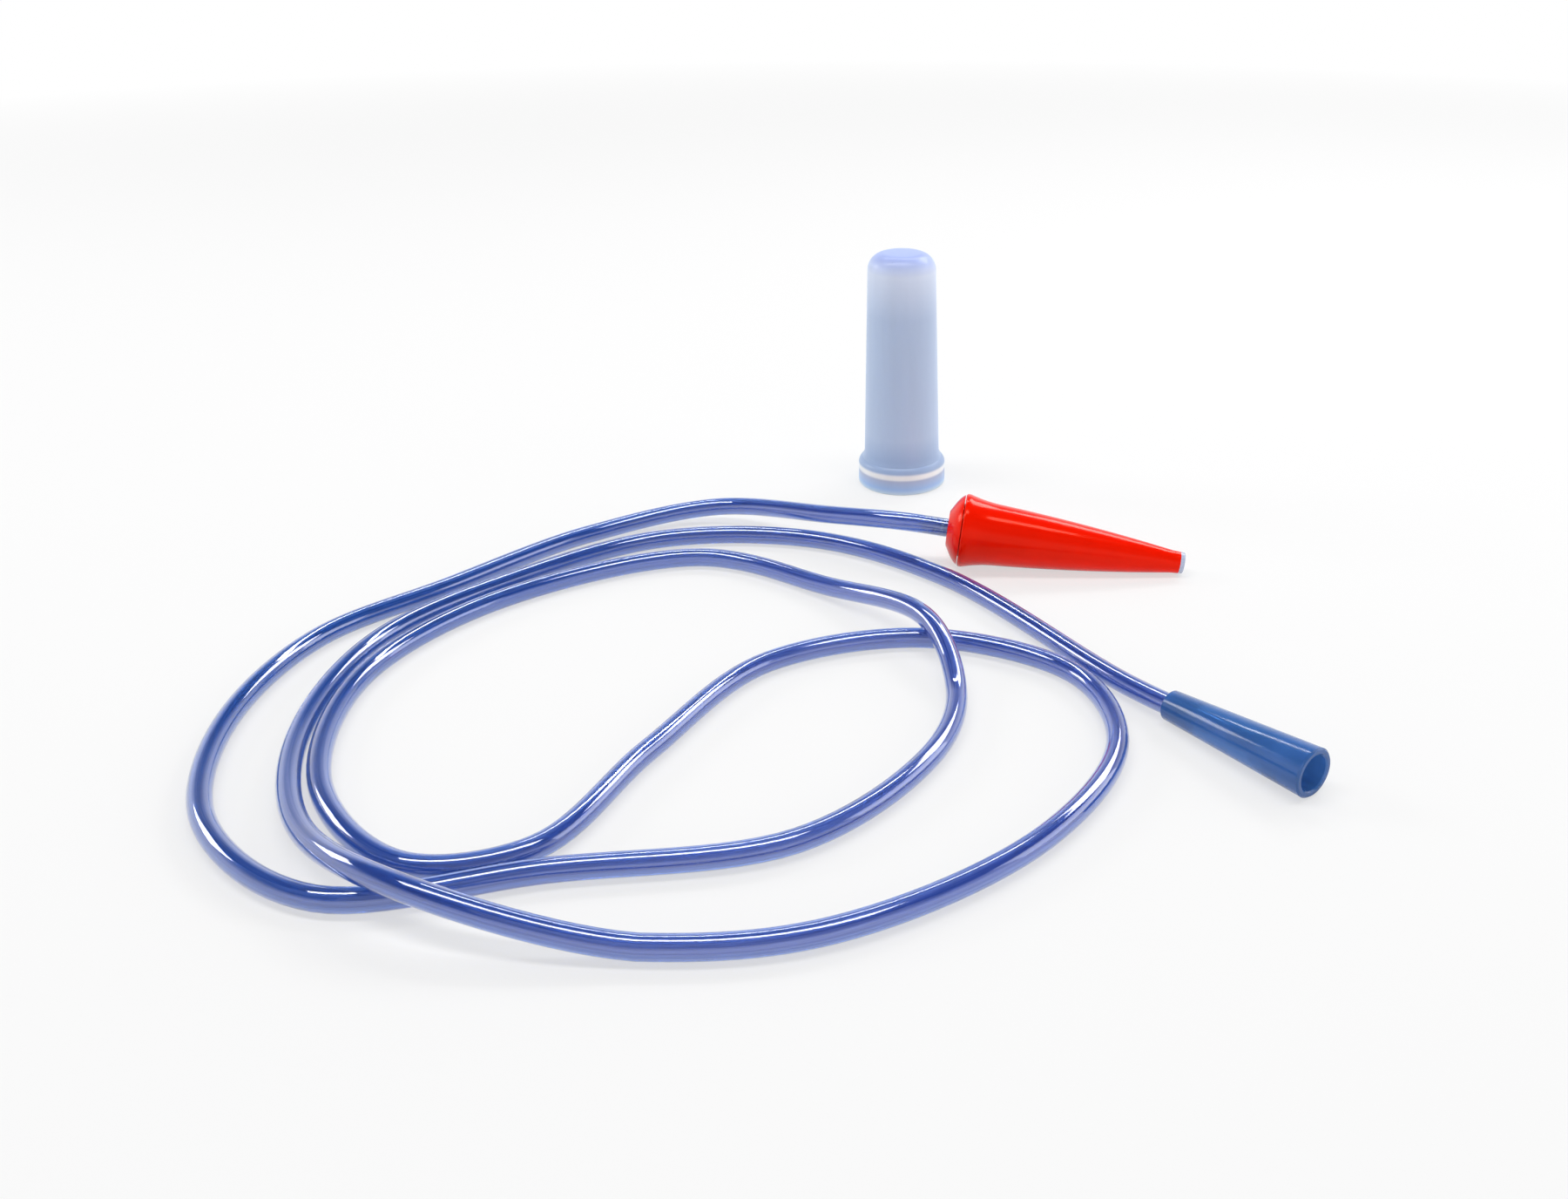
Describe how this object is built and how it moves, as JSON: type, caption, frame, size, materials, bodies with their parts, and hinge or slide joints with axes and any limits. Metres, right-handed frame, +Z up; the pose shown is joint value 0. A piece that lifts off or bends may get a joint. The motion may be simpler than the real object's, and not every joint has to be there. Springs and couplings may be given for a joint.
{
  "type": "saliva ejector tip",
  "caption": "Tapered suction tip with a domed swivel hub on a free flexible tube that ends in a flared connector, with its protective cap standing beside it.",
  "frame": {"origin": "on the table, at the middle of the cap's open foot, in the plane of the foot", "axes": "+Z up; +X the way the tip points over the table; +Y away from the tube's turns, towards the cap"},
  "size_m": [0.2389, 0.2377, 0.0705],
  "materials": {
    "tip_red": "glossy injection-moulded red-orange plastic",
    "lip_clear": "clear soft plastic",
    "cap_milky": "milky translucent moulded plastic with a pale blue cast",
    "tube_clear": "clear flexible PVC with a blue cast",
    "connector_blue": "translucent blue flexible plastic",
    "insert_white": "natural white moulded plastic",
    "disc_soft": "soft silicone",
    "seal_dark": "black rubber"
  },
  "bodies": {
    "line": {"hose_barb": "insert_white", "tube": "tube_clear", "end_connector": "connector_blue"},
    "hub": {"tip_hub": "tip_red", "hub_seal": "seal_dark", "barb_retainer": "insert_white", "valve_seat": "insert_white"},
    "valve": {"valve_disc": "disc_soft"},
    "tip": {"tip_shell": "tip_red", "mouth_lip": "lip_clear", "tip_strainer": "insert_white"},
    "cap": {"cap": "cap_milky"}
  },
  "joints": [
    {"name": "hub_swivel", "type": "hinge", "parent": "line", "child": "hub", "pos_m": [0.0236, -0.0585, 0.00983], "axis": [0.9934, 0, -0.1151], "continuous": true},
    {"name": "tip_pull", "type": "slide", "parent": "hub", "child": "tip", "axis": [0.9934, 0, -0.1151], "range_m": [0, 0.0085]},
    {"name": "valve_lift", "type": "slide", "parent": "hub", "child": "valve", "axis": [-0.9934, 0, 0.1151], "range_m": [0, 0.0015]},
    {"name": "cap_lift", "type": "slide", "parent": "line", "child": "cap", "axis": [0, 0, 1], "range_m": [0, 0.0705]}
  ]
}
